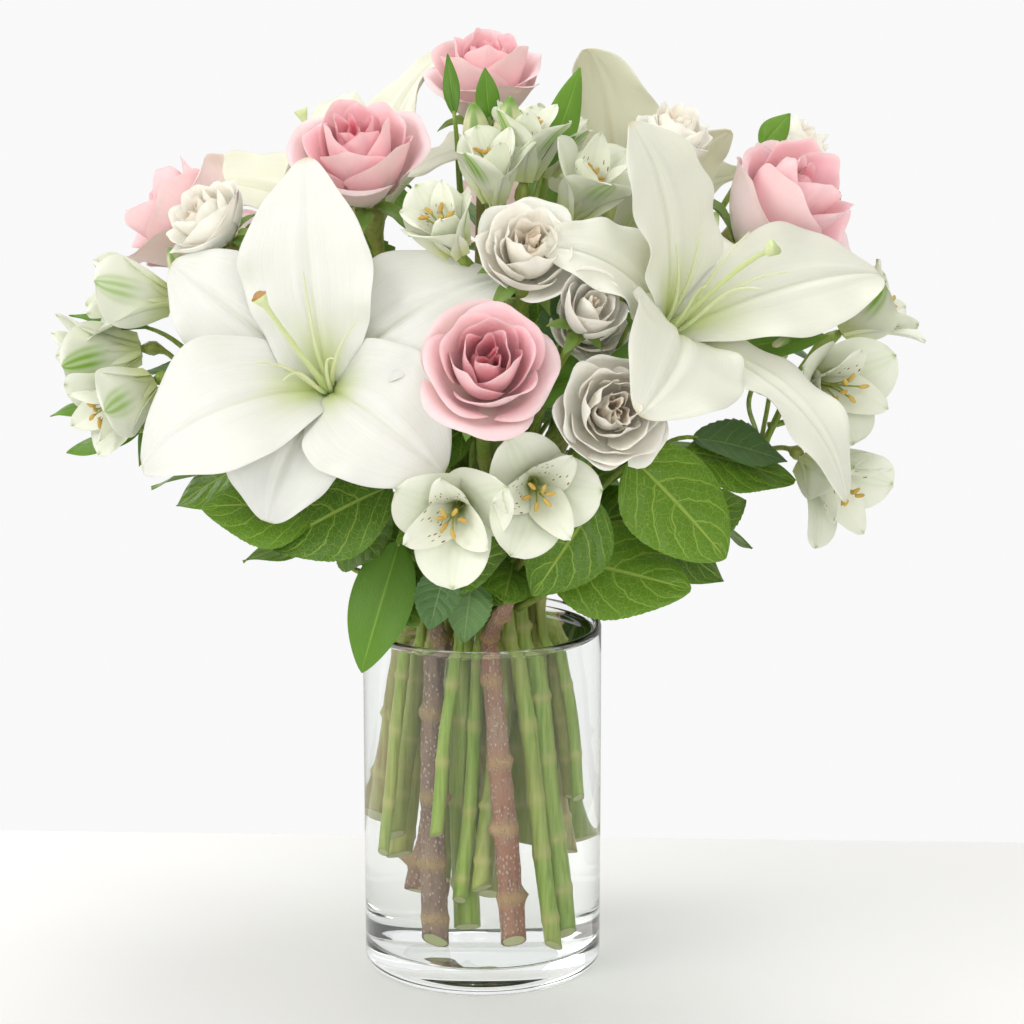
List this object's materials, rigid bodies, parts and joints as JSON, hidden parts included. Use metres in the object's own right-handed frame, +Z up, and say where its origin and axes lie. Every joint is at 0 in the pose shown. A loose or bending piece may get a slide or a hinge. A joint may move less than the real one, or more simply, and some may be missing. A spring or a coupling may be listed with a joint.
{
  "type": "cut flowers in a vase",
  "caption": "Rounded bouquet of white lilies, pink roses, cream spray roses, alstroemeria and salal leaves, its stems standing in a clear glass cylinder of water.",
  "frame": {"origin": "middle of the vase's flat underside, on the surface it stands on", "axes": "+Z up along the vase's axis; -Y is the front of the bouquet; +X is to its right seen from the front"},
  "size_m": [0.3458, 0.325, 0.399],
  "materials": {
    "clear_glass": "polished clear glass",
    "water": "clear still water",
    "lily_tepal": "soft satin petal",
    "green_pistil": "smooth and waxy",
    "pink_rose_petal": "velvety petal",
    "cream_rose_petal": "soft matt petal",
    "alstroemeria_petal": "soft satin petal",
    "green_stem": "smooth fresh stem",
    "brown_bark": "matt speckled bark",
    "green_leaf": "leathery satin leaf"
  },
  "bodies": {
    "root": {"vase": "clear_glass", "water": "water", "lily_1_outer_tepals": "lily_tepal", "lily_1_inner_tepals": "lily_tepal", "lily_1_pistil_and_stamens": "green_pistil", "lily_stem_1": "green_stem", "lily_2_outer_tepals": "lily_tepal", "lily_2_inner_tepals": "lily_tepal", "lily_2_pistil_and_stamens": "green_pistil", "lily_stem_2": "green_stem", "lily_3_outer_tepals": "lily_tepal", "lily_3_inner_tepals": "lily_tepal", "lily_3_pistil_and_stamens": "green_pistil", "lily_stem_3": "green_stem", "lily_4_outer_tepals": "lily_tepal", "lily_4_inner_tepals": "lily_tepal", "lily_4_pistil_and_stamens": "green_pistil", "lily_stem_4": "green_stem", "rose_1": "pink_rose_petal", "rose_stem_1": "green_stem", "rose_2": "pink_rose_petal", "rose_stem_2": "green_stem", "rose_3": "pink_rose_petal", "rose_stem_3": "green_stem", "rose_4": "pink_rose_petal", "rose_stem_4": "green_stem", "rose_5": "pink_rose_petal", "rose_stem_5": "green_stem", "rose_6": "pink_rose_petal", "rose_stem_6": "green_stem", "rose_7": "pink_rose_petal", "rose_stem_7": "green_stem", "spray_rose_1": "cream_rose_petal", "spray_rose_2": "cream_rose_petal", "spray_rose_3": "cream_rose_petal", "spray_rose_4": "cream_rose_petal", "spray_rose_5": "cream_rose_petal", "spray_rose_6": "cream_rose_petal", "spray_rose_7": "cream_rose_petal", "spray_rose_stem_1": "green_stem", "spray_rose_stem_2": "green_stem", "spray_rose_stem_3": "green_stem", "alstroemeria_1_florets": "alstroemeria_petal", "alstroemeria_stem_1": "green_stem", "alstroemeria_2_florets": "alstroemeria_petal", "alstroemeria_stem_2": "green_stem", "alstroemeria_3_florets": "alstroemeria_petal", "alstroemeria_stem_3": "green_stem", "alstroemeria_4_florets": "alstroemeria_petal", "alstroemeria_stem_4": "green_stem", "alstroemeria_5_florets": "alstroemeria_petal", "alstroemeria_stem_5": "green_stem", "woody_stem_1": "brown_bark", "salal_leaves_1": "green_leaf", "woody_stem_2": "brown_bark", "salal_leaves_2": "green_leaf", "woody_stem_3": "brown_bark", "salal_leaves_3": "green_leaf"}
  },
  "joints": []
}
